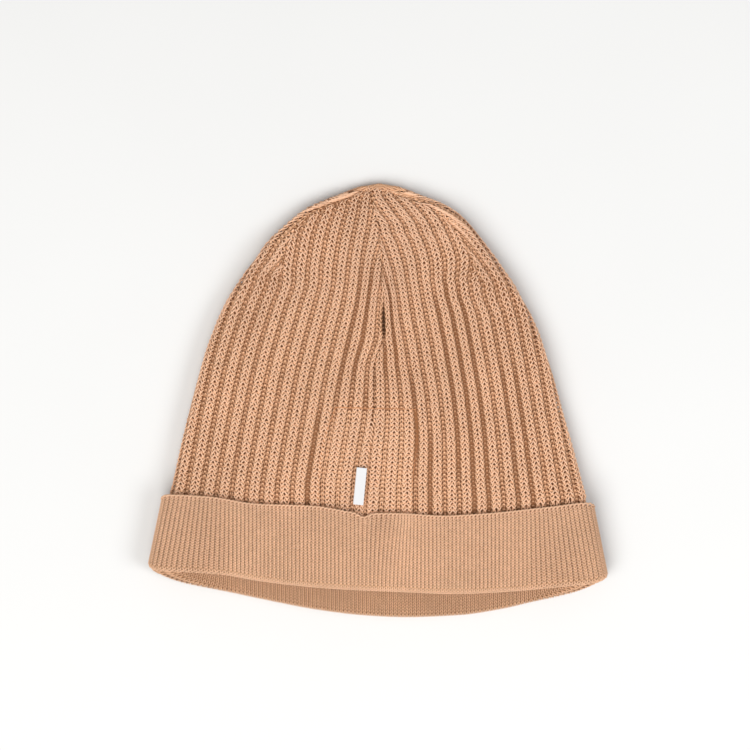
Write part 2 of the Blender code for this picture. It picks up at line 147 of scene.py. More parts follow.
# How far a course's ends ride above its middle, by height
COURSE_RISE = ((-96, 8), (-42, 8.5), (-20, 11), (20, 13), (50, 17), (75, 15), (90, 6))

# The crown's knit
WALES_PER_RIB = 3
WALE = 2.2
COURSE = 1.89
SLANTED_ABOVE = 74
SLANTED_COURSE = 1.15  # between courses on the side strips above there
PURL_NARROWING = 0.035
RIB_RELIEF = 0.55
YARN_RADIUS = 0.39
PURL_FULLER = 0.06
PURL_FACING = -0.6
PURL_STRAIGHTER = 0.55
STEP_THINNER = 0.45
LOOP_DEPTH = 0.36
LOOP_SWAY = 0.35  # in wales, as the next
LOOP_CLOSING = 0.06
LOOP_REACH = 0.76  # in courses
KNIT_BOTTOM = -88
COVERED_BELOW = -52
KNIT_TOP = 93.4
EDGE_ABOVE_FOLD = 4.6

# How deep the seams draw the crown in
SEAM_DEPTH = 0.45
SLIT_DEPTH = 0.9
DART_DEPTH = 0.7
BACK_DART_DEPTH = 0.6
SEAM_BULGE = 0.35  # how far the knit rises beside the seam in the upper crown
BACK_PRESSED = 0.45  # what is left of the relief on the back, which the hat lies on

# The yarn's tone, which paints light and shade on it: from 0 in the deepest painted shade to 1 on the
# brightest painted loop
MIDDLE_TONE = 0.6
LOOP_PAINTED_SHADE = 0.28
RELIEF_PAINTED_SHADE = 0.14
UPPER_PAINTED_LIGHT = 0.1
STEP_PAINTED_SHADE = 0.12
PATCH_PAINTED_LIGHT = 0.08
CREASE_PAINTED_SHADE = 0.4
LOWEST_TONE = 0.2
CUFF_TONE = 0.55
CUFF_LOOP_PAINTED_SHADE = 0.35
CUFF_STITCH_PAINTED_SHADE = 0.15
CUFF_BACK_PAINTED_SHADOW = 0.12
CUFF_LOWEST_TONE = 0.12

# The cuff's knit: its yarn runs down outside, round the fold and up inside
CUFF_WALES = 220
OUTER_COURSES = 26
TURN_COURSES = 5
INNER_COURSES = 24
CUFF_MIDDLE = 2.4
CUFF_YARN_RADIUS = 0.31
CUFF_LOOP_DEPTH = 0.36
INNER_LAYER_DROP = 2.4
BACK_DROP = 0.9
ALL_CUFF_COURSES = OUTER_COURSES + TURN_COURSES + INNER_COURSES

# The closed sheets behind the yarn
CROWN_BACKING_DEPTH = 1
CUFF_BACKING_DEPTH = 0.5
BACKING_THICK = 0.3
PATCH_DEPTH = 1.55
PATCH_THICK = 0.5
LOWEST_SHEET = 0.1

STITCH = np.linspace(-1, 1, 7)  # places along a seam's stitch
SAMPLES = 720  # points on a section's working curve
COLUMNS = 720  # even shares kept of it
ROWS = np.linspace(-97, TIP_Y, 480)
RNG = np.random.default_rng(12)


def curve_at(points, at):
    """A smooth curve through (position, value) points, without overshoot."""
    position, value = np.array(points, float).T
    slope = np.diff(value) / np.diff(position)
    tangent = np.zeros_like(value)
    same_way = slope[:-1] * slope[1:] > 0
    tangent[1:-1] = np.where(same_way, 2 * slope[:-1] * slope[1:] / (slope[:-1] + slope[1:] + 1e-12), 0)
    tangent[0], tangent[-1] = slope[0], slope[-1]
    at = np.clip(np.asarray(at, float), position[0], position[-1])
    i = np.clip(np.searchsorted(position, at) - 1, 0, len(slope) - 1)
    run = position[i + 1] - position[i]
    t = (at - position[i]) / run
    return (
        (2 * t**3 - 3 * t**2 + 1) * value[i]
        + (t**3 - 2 * t**2 + t) * run * tangent[i]
        + (3 * t**2 - 2 * t**3) * value[i + 1]
        + (t**3 - t**2) * run * tangent[i + 1]
    )


def slope_at(points, at):
    return curve_at(points, at + 0.5) - curve_at(points, at - 0.5)


def smooth(value):
    """0 below 0, 1 above 1 and a smooth step between."""
    value = np.clip(value, 0, 1)
    return value * value * (3 - 2 * value)


def bell(distance, width):
    return np.exp(-((distance / width) ** 2))


def wave(turns):
    return np.cos(2 * math.pi * turns)


def unit(vectors):
    return vectors / np.maximum(np.linalg.norm(vectors, axis=-1, keepdims=True), 1e-12)


def keep_above(points, height):
    """Lifts the points that would lie below a height, in place."""
    points[..., 2] = np.maximum(points[..., 2], height)
    return points


# ---- the crown's middle surface


def section_row(y):
    """x, z and the normal in the section's plane at even shares of the turn."""
    tables = FRONT_HEIGHT, BACK_HEIGHT, CROWN_HALF_WIDTH, LEAN
    high, low, half_width, lean = (float(curve_at(table, y)) for table in tables)
    rounding = min(SIDE_ROUND, 0.42 * (high - low))
    rise = min(SIDE_RISE, 0.1 * (high - low))
    half_width = max(half_width - rounding, 0.3)
    angle = np.linspace(0, 2 * math.pi, SAMPLES, endpoint=False)
    side = low + rounding + rise
    s = np.cos(angle)
    dome = np.sqrt(np.clip(1 - np.abs(s) ** DOME_POWER, 0, 1))
    floor = np.sqrt(1 - np.clip((np.abs(s) - BACK_FLAT) / (1 - BACK_FLAT), 0, 1) ** 2)
    x = half_width * s
    z = np.where(angle <= math.pi, side + (high - rounding - side) * dome, side - rise * floor)
    dx = np.roll(x, -1) - np.roll(x, 1)
    dz = np.roll(z, -1) - np.roll(z, 1)
    length = np.hypot(dx, dz)
    nx, nz = dz / length, -dx / length
    fields = [x + rounding * nx + lean, z + rounding * nz, nx, nz]
    fields = [np.append(f, f[0]) for f in fields]
    run = np.concatenate([[0], np.cumsum(np.hypot(np.diff(fields[0]), np.diff(fields[1])))])
    middle = run[SAMPLES // 2]
    front = np.linspace(0, middle, COLUMNS // 2 + 1)
    back = np.linspace(middle, run[-1], COLUMNS // 2 + 1)[1:]
    even = np.concatenate([front, back])
    return np.array([np.interp(even, run, f) for f in fields]), middle


def surface_tables():
    """The middle surface and its normal by height and share, and the front's arc."""
    sections = [section_row(y) for y in ROWS]
    grid = np.array([fields for fields, _ in sections])
    x, z, nx, nz = grid.transpose(1, 0, 2)
    step = ROWS[1] - ROWS[0]
    ny = -(nx * np.gradient(x, step, axis=0) + nz * np.gradient(z, step, axis=0))
    length = np.sqrt(nx**2 + ny**2 + nz**2)
    return np.stack([x, z, nx / length, ny / length, nz / length]), np.array([arc for _, arc in sections])


SURFACE, FRONT_ARC = surface_tables()


def surface(share, y):
    """Points on the crown's middle surface, and its normals."""
    share, y = np.broadcast_arrays(np.asarray(share, float), np.asarray(y, float))
    row = np.clip((y - ROWS[0]) / (ROWS[1] - ROWS[0]), 0, len(ROWS) - 1.001)
    column = (share % 1) * COLUMNS
    r, c = row.astype(int), np.minimum(column.astype(int), COLUMNS - 1)
    u, v = row - r, column - c
    fields = (
        SURFACE[:, r, c] * (1 - u) * (1 - v)
        + SURFACE[:, r + 1, c] * u * (1 - v)
        + SURFACE[:, r, c + 1] * (1 - u) * v
        + SURFACE[:, r + 1, c + 1] * u * v
    )
    point = np.stack([fields[0], y, fields[1]], axis=-1)
    return point, unit(np.stack(list(fields[2:5]), axis=-1))


def by_row(values, y):
    """A value that is kept for every row, at any height."""
    return np.interp(y, ROWS, values)


def turn_length(y):
    """How far it is round the crown at a height."""
    return 2 * by_row(FRONT_ARC, y)


def on_front(share):
    return (share % 1) <= 0.5


def across_at(share):
    """How far across the hat a share lies: -1 at the left fold, 1 at the right."""
    share = share % 1
    return np.where(share <= 0.5, 1 - 4 * share, 4 * share - 3)


def edge_y(share, front, back):
    """The height of an edge, from its tables for the front and the back."""
    across = across_at(share)
    return np.where(on_front(share), curve_at(front, across), curve_at(back, across))


def knit_bottom(share):
    """The height at which the crown's knit starts, above the cuff's fold."""
    return edge_y(np.clip(share, 0, 1), FRONT_FOLD, BACK_FOLD) + EDGE_ABOVE_FOLD


def shares_of(line, front=True):
    """The share at which a line of (x, y) points crosses every row."""
    xs = curve_at(sorted((y, x) for x, y in line), ROWS)
    half = COLUMNS // 2
    even = np.linspace(0, 0.5, half + 1)
    if front:
        return np.array([np.interp(-x, -row[: half + 1], even) for x, row in zip(xs, SURFACE[0])])
    return np.array([0.5 + np.interp(x, row[half:], even) for x, row in zip(xs, SURFACE[0])])


def ribs(table):
    return curve_at(table, ROWS)


SEAM_SHARE = shares_of(CENTRE_SEAM)
PATCH_LEFT_SHARE = shares_of(PATCH_LEFT)
PATCH_RIGHT_SHARE = shares_of(PATCH_RIGHT)


def dart_share(line, start, guide_share, ribs_at_guide, fold_share, ribs_at_fold):
    """A dart's line, carried on below its start along the rib that it starts from."""
    part = (start - ribs_at_guide) / (ribs_at_fold - ribs_at_guide)
    along_rib = guide_share + (fold_share - guide_share) * part
    foot = min(y for _, y in line)
    real = smooth((ROWS - foot + 14) / 14)
    return along_rib * (1 - real) + shares_of(line) * real


JUST_BESIDE = 0.0003  # of the turn
LEFT_GUIDE_SHARE = np.maximum(shares_of(LEFT_GUIDE), SEAM_SHARE + JUST_BESIDE)
LEFT_GUIDE_RIBS = np.minimum(LEFT_GUIDE_RIB, ribs(RIB_LEFT_OF_SEAM) - 0.02)
RIGHT_GUIDE_SHARE = np.minimum(shares_of(RIGHT_GUIDE), SEAM_SHARE - JUST_BESIDE)
RIGHT_GUIDE_RIBS = np.maximum(RIGHT_GUIDE_RIB, ribs(RIB_RIGHT_OF_SEAM) + 0.02)
LEFT_DART_SHARE = dart_share(
    LEFT_DART, LEFT_DART_START, LEFT_GUIDE_SHARE, LEFT_GUIDE_RIBS, 0.5, ribs(RIB_AT_LEFT_FOLD)
)
RIGHT_DART_SHARE = dart_share(
    RIGHT_DART, RIGHT_DART_START, RIGHT_GUIDE_SHARE, RIGHT_GUIDE_RIBS, 0, ribs(RIB_AT_RIGHT_FOLD)
)
BACK_SHARE = shares_of(BACK_MIDDLE, front=False)
FLAT = np.ones_like(ROWS)

# Each strip between two landmark lines: their shares, then the ribs on them
STRIPS = {
    "left_side": (0.5 * FLAT, LEFT_DART_SHARE, ribs(RIB_AT_LEFT_FOLD), ribs(LEFT_DART_OUTER)),
    "left": (LEFT_DART_SHARE, LEFT_GUIDE_SHARE, ribs(LEFT_DART_INNER), LEFT_GUIDE_RIBS),
    "left_of_seam": (LEFT_GUIDE_SHARE, SEAM_SHARE, LEFT_GUIDE_RIBS, ribs(RIB_LEFT_OF_SEAM)),
    "right_of_seam": (SEAM_SHARE, RIGHT_GUIDE_SHARE, ribs(RIB_RIGHT_OF_SEAM), RIGHT_GUIDE_RIBS),
    "right": (RIGHT_GUIDE_SHARE, RIGHT_DART_SHARE, RIGHT_GUIDE_RIBS, ribs(RIGHT_DART_INNER)),
    "right_side": (RIGHT_DART_SHARE, 0 * FLAT, ribs(RIGHT_DART_OUTER), ribs(RIB_AT_RIGHT_FOLD)),
    "back_left": (0.5 * FLAT, BACK_SHARE, ribs(RIB_AT_LEFT_FOLD), ribs(RIB_LEFT_OF_BACK)),
    "back_right": (1 * FLAT, BACK_SHARE, ribs(RIB_AT_RIGHT_FOLD), ribs(RIB_RIGHT_OF_BACK)),
}
LEFT_STRIPS = ("left_side", "left", "left_of_seam")
RIGHT_STRIPS = ("right_of_seam", "right", "right_side")


def strip_at(strip, y):
    """A strip's edges at a height: their shares, then the ribs on them."""
    return [by_row(values, y) for values in STRIPS[strip]]


def strip_share(strip, rib, y):
    """The share at which a rib runs through a strip at a height."""
    share_a, share_b, rib_a, rib_b = strip_at(strip, y)
    return share_a + (rib - rib_a) / (rib_b - rib_a) * (share_b - share_a)


def in_strip(strip, rib, y, tolerance):
    _, _, rib_a, rib_b = strip_at(strip, y)
    low, high = np.minimum(rib_a, rib_b), np.maximum(rib_a, rib_b)
    return (rib >= low - tolerance) & (rib <= high + tolerance)


def rib_on_front(share, y):
    """The rib that passes a place on the front."""
    rib = np.zeros_like(share)
    for strip in LEFT_STRIPS + RIGHT_STRIPS:
        share_a, share_b, rib_a, rib_b = strip_at(strip, y)
        here = rib_a + (share_a - share) / (share_a - share_b) * (rib_b - rib_a)
        rib = np.where((share <= share_a) & (share >= share_b), here, rib)
    return rib


def wale_width(strip, y):
    """How wide a wale is in a strip at a height."""
    share_a, share_b, rib_a, rib_b = strip_at(strip, y)
    across = np.abs(share_b - share_a) * turn_length(y)
    if strip.endswith("_side"):
        across = across / np.hypot(1, slope_at(CROWN_HALF_WIDTH, y))
    return across / np.maximum(np.abs(rib_b - rib_a) * WALES_PER_RIB, 0.1)


# ---- the crown's relief


def distance_to(line_share, share, y):
    """How far a place is from a line, positive to the line's right on the front."""
    return (by_row(line_share, y) - share) * turn_length(y)


def patch_cover(share, y):
    """1 where the patch lies behind the front, 0 elsewhere."""
    left = smooth(distance_to(PATCH_LEFT_SHARE, share, y) / 2.2)
    right = smooth(-distance_to(PATCH_RIGHT_SHARE, share, y) / 1.4)
    return left * right * smooth((PATCH_TOP_Y - y) / 1.4)


PINCHED = (  # purl channels that close up: the rib, from and to which height, and how deep
    (7.5, -60, 0, 0.5), (8.5, 0, 62, 0.35), (9.5, 4, 62, 0.5), (10.5, -40, 12, 0.2), (12.5, 4, 30, 0.5),
    (13.5, 6, 58, 0.5), (14.5, -28, 16, 0.4), (15.5, -60, -10, 0.5), (17.5, -40, 50, 0.45),
    (18.5, -60, 60, 0.5), (19.5, -60, 55, 0.45), (21.5, -60, 20, 0.3), (22.5, -60, 20, 0.35),
)
SLITS = (  # where the seam gapes: from and to which height, and how deep
    (26, 46, 1), (57, 69, 0.5), (73, 83, 0.4),
)


def slit_depth(share, y):
    """1 in the middle of an open slit along the seam, 0 away from it."""
    held = sum(depth * smooth((y - low) / 5) * smooth((high - y) / 11) for low, high, depth in SLITS)
    return held * bell(distance_to(SEAM_SHARE, share, y), 1)


def creases(rib, share, y):
    """How far closed channels and the patch's right edge draw the front in."""
    patch_edge = smooth((PATCH_TOP_Y - y) / 2) * smooth((y + 42) / 16)
    drawn_in = 0.6 * patch_edge * bell(distance_to(PATCH_RIGHT_SHARE, share, y), 0.9)
    for channel, low, high, depth in PINCHED:
        held = smooth((y - low) / 12) * smooth((high - y) / 12)
        drawn_in = drawn_in + depth * held * bell(rib - channel, 0.14)
    return drawn_in


def patch_grooves(share, y):
    """How far the patch's left side and its top draw the front in."""
    left_edge = distance_to(PATCH_LEFT_SHARE, share, y)
    right_edge = distance_to(PATCH_RIGHT_SHARE, share, y)
    within = smooth((left_edge + 1) / 2) * smooth((1 - right_edge) / 2)
    side = 0.25 * smooth((PATCH_TOP_Y - y) / 2) * bell(left_edge, 1)
    return side + 0.35 * within * bell(y - PATCH_TOP_Y, 0.7)


def dart_groove(line_share, share, y, start, run):
    """1 along a dart above its start, 0 away from it."""
    return smooth((y - start) / run) * bell(distance_to(line_share, share, y), 1)


def seam_grooves(share, y):
    """How far the centre seam and the front's darts draw the front in."""
    seam = distance_to(SEAM_SHARE, share, y)
    bulge = SEAM_BULGE * smooth((y - 20) / 20) * bell(seam, 5)
    darts = dart_groove(LEFT_DART_SHARE, share, y, 52, 8) + dart_groove(RIGHT_DART_SHARE, share, y, 48, 8)
    return SEAM_DEPTH * bell(seam, 0.7) + SLIT_DEPTH * slit_depth(share, y) - bulge + DART_DEPTH * darts


def crown_relief(rib, share, y):
    """Height of the knit's middle above the crown's middle surface."""
    ribbed = RIB_RELIEF * (2 * smooth((wave(rib) + 0.95) / 1.3) - 1)
    front = (ribbed - creases(rib, share, y)) * (1 - 0.5 * patch_cover(share, y))
    front = front - patch_grooves(share, y) - seam_grooves(share, y)
    back = ribbed - BACK_DART_DEPTH * dart_groove(BACK_SHARE, share, y, 10, 20)
    relief = np.where(on_front(share), front, back * BACK_PRESSED + 0.1)
    return relief * (1 - 0.3 * smooth((y - 84) / 8))


# ---- yarn meshes


def tube_faces(exists, sides):
    """Faces of tubes whose rings stand in rows, where exists says which rings are there."""
    rows, count = exists.shape
    index = np.arange(rows * count * sides).reshape(rows, count, sides)
    joined = exists[:, :-1] & exists[:, 1:]
    a, b = index[:, :-1][joined], index[:, 1:][joined]
    walls = np.stack([a, b, np.roll(b, -1, axis=1), np.roll(a, -1, axis=1)], axis=-1).reshape(-1, 4)
    before = np.pad(joined, ((0, 0), (1, 0)))
    after = np.pad(joined, ((0, 0), (0, 1)))
    first = index[after & ~before][:, ::-1]
    last = index[before & ~after]
    return walls, np.concatenate([first, last])


def tube_rings(points, normals, radius, sides):
    """Rings round rows of points, square to the rows and turned to the normals."""
    tangent = unit(np.gradient(points, axis=1))
    across = unit(np.cross(tangent, normals))
    over = np.cross(across, tangent)
    angle = 2 * math.pi * (np.arange(sides) + 0.5) / sides
    ring = np.cos(angle)[:, None] * across[:, :, None] + np.sin(angle)[:, None] * over[:, :, None]
    return points[:, :, None] + ring * radius[:, :, None, None]


def build_mesh(name, vertices, polygons, tone=None):
    """A smooth mesh from vertices and arrays of faces with equal corner counts."""
    used, flat = np.unique(np.concatenate([p.ravel() for p in polygons]), return_inverse=True)
    totals = np.concatenate([np.full(len(p), p.shape[1]) for p in polygons])
    starts = np.concatenate([[0], np.cumsum(totals)[:-1]])
    mesh = bpy.data.meshes.new(name)
    mesh.vertices.add(len(used))
    mesh.vertices.foreach_set("co", (vertices[used] * MM).astype(np.float32).ravel())
    mesh.loops.add(len(flat))
    mesh.loops.foreach_set("vertex_index", flat.astype(np.int32).ravel())
    mesh.polygons.add(len(totals))
    mesh.polygons.foreach_set("loop_start", starts.astype(np.int32))
    mesh.polygons.foreach_set("loop_total", totals.astype(np.int32))
    mesh.polygons.foreach_set("use_smooth", np.ones(len(totals), bool))
    # The tone attribute carries painted light and shade for the yarn materials.
    if tone is not None:
        attribute = mesh.attributes.new("tone", "FLOAT", "POINT")
        attribute.data.foreach_set("value", tone[used].astype(np.float32))
    add_bake_layout(mesh, totals, starts)
    mesh.update()
    mesh.validate()
    return mesh


def add_bake_layout(mesh, totals, starts):
    """Gives every face its own cell in the OFBake UV layer, so that no unwrapping is needed."""
    side = math.ceil(math.sqrt(len(totals)))
    face = np.repeat(np.arange(len(totals)), totals)
    corner = np.arange(len(face)) - np.repeat(starts, totals)
    angle = 2 * math.pi * (corner + 0.5) / np.repeat(totals, totals)
    u = (face % side + 0.5 + 0.5 * np.cos(angle)) / side
    v = (face // side + 0.5 + 0.5 * np.sin(angle)) / side
    layer = mesh.uv_layers.new(name="OFBake")
    layer.uv.foreach_set("vector", np.stack([u, v], axis=-1).astype(np.float32).ravel())


def add_to_scene(name, data, location=(0, 0, 0)):
    item = bpy.data.objects.new(name, data)
    item.location = location
    bpy.context.scene.collection.objects.link(item)
    return item


def add_piece(name, mesh, material, body, node=None):
    """A piece that rides a body, and that replaces a node where one is given."""
    mesh.materials.append(material)
    piece = add_to_scene(name, mesh)
    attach(piece, body)
    if node:
        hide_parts(node)
    return piece


def add_yarn(name, rows, material, body, node=None, sides=5):
    """One piece of yarn rows. Rows are (points, normals, radius, exists, tone) arrays."""
    points, normals, radius, exists, tone = rows
    rings = tube_rings(points, normals, radius, sides)
    walls, caps = tube_faces(exists, sides)
    mesh = build_mesh(name, rings.reshape(-1, 3), [walls, caps], np.repeat(tone.ravel(), sides))
    return add_piece(name, mesh, material, body, node)


def even_rows(points, normals, radius, tone):
    """Rows of whole yarn with the same radius and tone all along."""
    shape = points.shape[:2]
    return points, normals, np.full(shape, radius), np.ones(shape, bool), np.full(shape, tone)


def wobble(rows, count, places, amount):
    """Slow random variation along rows, the same on each run."""
    knots = RNG.normal(0, amount, (rows, count + 2))
    at = np.clip((places - places.min()) / max(np.ptp(places), 1e-9) * count, 0, count)
    i = at.astype(int)
    part = smooth(at - i)
    return knots[:, i] * (1 - part) + knots[:, i + 1] * part


# ---- the crown's knit


def course_place(strip, rib, middle):
    """Share and height at a rib of a course that is named by its middle's height."""
    y = np.broadcast_to(middle, np.broadcast(rib, middle).shape).astype(float)
    for _ in range(5):
        share = strip_share(strip, rib, y)
        y = middle + curve_at(COURSE_RISE, middle) * across_at(np.clip(share, 0, 1)) ** 2
    return share, y


def loop_shape(stitch):
    """How far a loop's yarn stands aside: its legs meet at its foot and part at its head."""
    return LOOP_SWAY * np.sin(4 * math.pi * stitch) + LOOP_CLOSING * np.sin(2 * math.pi * stitch)


def rib_step(rib):
    """1 where a rib steps down to its purl wale on its right side, which lies in shadow, and less on its
    left side: there the yarn is thinned and darkened with painted shade.
    """
    side = (rib + 0.5) % 1 - 0.5
    return bell(side - 0.36, 0.08) + 0.6 * bell(side + 0.36, 0.07)


def loop_reach(middle, share, uneven):
    """How far a loop reaches along its wale: further where courses spread apart."""
    spread = 1 + slope_at(COURSE_RISE, middle) * across_at(np.clip(share, 0, 1)) ** 2
    return np.gradient(middle[:, 0])[:, None] * spread * (LOOP_REACH + uneven)


def yarn_rib(rib, stitch, facing, drift):
    """The rib at which yarn runs; purl loops sway less, and their wale is narrower."""
    sway = loop_shape(stitch) * (1 - PURL_STRAIGHTER * (facing < 0) * facing / PURL_FACING)
    rib = rib + sway / WALES_PER_RIB + drift
    return rib + PURL_NARROWING * np.sin(2 * math.pi * rib)


def yarn_slimness(strip, rib, y, facing):
    """The part of its full radius that yarn has in narrow wales and on rib steps."""
    narrow = np.clip(wale_width(strip, y) / WALE, 0.62, 1.1)
    return narrow * (1 - PURL_FULLER * facing) * (1 - STEP_THINNER * np.minimum(rib_step(rib), 1))


def crown_rows(strip, middles, per_stitch):
    """The yarn of a strip's courses, one row for each course."""
    rib_a, rib_b = STRIPS[strip][2:]
    first = math.floor(WALES_PER_RIB * min(rib_a.min(), rib_b.min())) - 1
    last = math.ceil(WALES_PER_RIB * max(rib_a.max(), rib_b.max())) + 1
    stitch = np.arange(first * per_stitch, last * per_stitch + 1) / per_stitch
    rib, middle = stitch[None, :] / WALES_PER_RIB, middles[:, None]
    share, y = course_place(strip, rib, middle)
    uneven = wobble(len(middles), 2 * (last - first), stitch, 0.08)
    drift = wobble(len(middles), last - first, stitch, 0.02)
    thicker = wobble(len(middles), 2 * (last - first), stitch, 0.05)

    facing = np.clip((wave(rib) + 0.5) / 0.35, PURL_FACING, 1)
    y_yarn = y - loop_reach(middle, share, uneven) * wave(stitch)
    rib_yarn = yarn_rib(rib, stitch, facing, drift)
    share_yarn = strip_share(strip, rib_yarn, y_yarn)
    loop = -LOOP_DEPTH * facing * wave(2 * stitch)
    place = share_yarn, y_yarn
    relief = crown_relief(rib_yarn, *place)
    point, normal = surface(*place)
    point = keep_above(point + normal * (relief + loop)[..., None], YARN_RADIUS)
    radius = YARN_RADIUS * (1 + thicker) * yarn_slimness(strip, rib_yarn, y, facing)
    exists = in_strip(strip, rib, y, 0.6 / (WALES_PER_RIB * per_stitch))
    exists &= (y > knit_bottom(share)) & (y < KNIT_TOP)

    # Painted light and shade on the crown's yarn: darker down in the loops, in purl channels and grooves,
    # at rib steps and at the loops' feet, in closed channels and in the seam's slit; lighter on high loops
    # and ribs, towards the upper crown and over the patch.
    tone = MIDDLE_TONE + LOOP_PAINTED_SHADE * loop / LOOP_DEPTH + RELIEF_PAINTED_SHADE * relief / RIB_RELIEF
    tone = tone + UPPER_PAINTED_LIGHT * smooth((y - 20) / 40) - STEP_PAINTED_SHADE * (rib_step(rib_yarn) + wave(stitch))
    front = share < 0.5
    shade = CREASE_PAINTED_SHADE * creases(rib_yarn, *place) - PATCH_PAINTED_LIGHT * patch_cover(*place)
    tone = np.maximum(tone - front * shade, LOWEST_TONE) - front * slit_depth(*place)
    return point, normal, radius, exists, tone


def crown_courses(strip, low, high):
    """The heights of a strip's courses, closer where its ribs slant."""
    every = np.arange(KNIT_BOTTOM, 97, COURSE)
    if strip.endswith("_side"):
        slanted = np.arange(SLANTED_ABOVE, 97, SLANTED_COURSE)
        every = np.concatenate([every[every < SLANTED_ABOVE - 0.5 * COURSE], slanted])
    return every[(every >= low) & (every < high)]


def crown_parts():
    """Each part's name, strips, heights, points per stitch and sides."""
    for side, strips, split in (("left", LEFT_STRIPS, 8), ("right", RIGHT_STRIPS, -2)):
        name = f"crown_front_{side}_knit_"
        yield name + "under_cuff", strips, -96, COVERED_BELOW, 7, 4
        yield name + "lower", strips, COVERED_BELOW, split, 12, 5
        yield name + "upper", strips, split, 99, 12, 5
    for side in ("left", "right"):
        yield f"crown_back_{side}_knit_lower", (f"back_{side}",), -96, -26, 7, 4
        yield f"crown_back_{side}_knit_upper", (f"back_{side}",), -26, 99, 7, 4


def joined_rows(parts):
    """Several strips' rows as one; shorter rows end in yarn that isn't there."""
    longest = max(part[0].shape[1] for part in parts)
    joined = []
    for fields in zip(*parts):
        mode = "constant" if fields[0].dtype == bool else "edge"
        gaps = [((0, 0), (0, longest - f.shape[1]), (0, 0))[: f.ndim] for f in fields]
        joined.append(np.concatenate([np.pad(f, gap, mode=mode) for f, gap in zip(fields, gaps)]))
    return joined


def make_crown_knit(material):
    pieces = {}
    for name, strips, low, high, per_stitch, sides in crown_parts():
        parts = [crown_rows(strip, crown_courses(strip, low, high), per_stitch) for strip in strips]
        pieces[name] = add_yarn(name, joined_rows(parts), material, "crown", sides=sides)
    return pieces


# ---- the cuff


def cuff_dents(x, top):
    """How far the cuff dips, is drawn in and leans aside, near its front seam."""
    notch = 1.7 * bell(x + 6.6, 2.6) * top**3
    groove = 0.95 * bell(x + 6 + 2.4 * (1 - top), 1.7) * (0.25 + 0.75 * top)
    crease = 0.5 * bell(x - 16.5, 2.4) * top
    lean = 2.4 * bell(x - 5, 8) * top**1.6
    return notch, groove + crease, lean


def cuff_flare(x, top):
    """How far the cuff's ends stand out sideways past the crown."""
    across = np.abs(x) / CROWN_HALF_WIDTH[0][1]
    spread = smooth((across - FLARE_START) / (FLARE_FULL - FLARE_START))
    return np.sign(x) * spread * (FLARE_AT_FOLD - (FLARE_AT_FOLD - FLARE_AT_TOP) * top)


def cuff_place(share, course):
    """Points on the cuff's middle and its normals, by courses from its top edge."""
    front = on_front(share)
    low, high = edge_y(share, FRONT_FOLD, BACK_FOLD), edge_y(share, FRONT_TOP, BACK_TOP)
    low = low - BACK_DROP * ~front * smooth((1 - np.abs(across_at(share))) / 0.15)
    down = np.minimum(course / OUTER_COURSES, 1)
    turn = np.clip((course - OUTER_COURSES) / TURN_COURSES, 0, 1) * math.pi
    up = np.maximum(course - OUTER_COURSES - TURN_COURSES, 0) / INNER_COURSES
    turn_y = low + CUFF_YARN_RADIUS + CUFF_MIDDLE
    y = high + (turn_y - high) * down - CUFF_MIDDLE * np.sin(turn) + (high - INNER_LAYER_DROP - turn_y) * up
    point, normal = surface(share, np.minimum(y, CHANNEL_Y))
    x, top = point[..., 0], 1 - np.maximum(down, 0)
    outside = (1 - 0.8 * smooth(turn / (0.5 * math.pi) - 1)) * (1 - smooth(up * INNER_COURSES / 3))
    notch, inward, lean = (front * outside * dent for dent in cuff_dents(x, top))
    aside = outside * cuff_flare(x, top) + lean
    point = point + normal * (CUFF_MIDDLE * np.cos(turn) - inward)[..., None]
    point[..., 0] += aside
    point[..., 1] = y - notch
    facing = normal * np.cos(turn)[..., None] + np.array([0, -1, 0]) * np.sin(turn)[..., None]
    return point, unit(facing)


def cuff_rows(first_wale, last_wale, courses, per_stitch):
    """The yarn of the cuff's courses between two wales."""
    stitch = np.arange(first_wale * per_stitch, last_wale * per_stitch + 1) / per_stitch
    count, rows = last_wale - first_wale, len(courses)
    reach = LOOP_REACH + wobble(rows, 2 * count, stitch, 0.05)
    drift = wobble(rows, count, stitch, 0.03)
    radius = CUFF_YARN_RADIUS * (1 + wobble(rows, 2 * count, stitch, 0.05))
    course = courses[:, None] + reach * wave(stitch)
    share = (stitch + loop_shape(stitch) + drift) / CUFF_WALES
    loop = -wave(2 * stitch) * np.ones_like(share)
    point, normal = cuff_place(share, course)
    point = keep_above(point + CUFF_LOOP_DEPTH * normal * loop[..., None], CUFF_YARN_RADIUS)
    # Painted light and shade on the cuff's yarn: darker down in the loops and at their feet, lighter on
    # high loops, and a painted shadow on the whole back half.
    tone = CUFF_TONE + CUFF_LOOP_PAINTED_SHADE * loop - CUFF_STITCH_PAINTED_SHADE * wave(stitch)
    tone = np.maximum(tone - CUFF_BACK_PAINTED_SHADOW * ~on_front(share), CUFF_LOWEST_TONE)
    return point, normal, radius, np.ones(share.shape, bool), tone


def make_cuff_knit(material):
    half = CUFF_WALES // 2
    outer = np.arange(0.9, OUTER_COURSES + 2, 1)
    inner = np.arange(OUTER_COURSES + 2.9, ALL_CUFF_COURSES, 1)
    parts = (  # name, wales and courses that it covers, points per stitch, sides
        ("cuff_outer_knit_front_right", 0, half // 2, outer, 9, 5),
        ("cuff_outer_knit_front_left", half // 2, half, outer, 9, 5),
        ("cuff_outer_knit_back", half, CUFF_WALES, outer, 7, 4),
        ("cuff_inner_knit_front", 0, half, inner, 7, 4),
        ("cuff_inner_knit_back", half, CUFF_WALES, inner, 7, 4),
    )
    pieces = {}
    for name, first, last, courses, per_stitch, sides in parts:
        rows = cuff_rows(first, last, courses, per_stitch)
        pieces[name] = add_yarn(name, rows, material, "cuff", sides=sides)
    return pieces


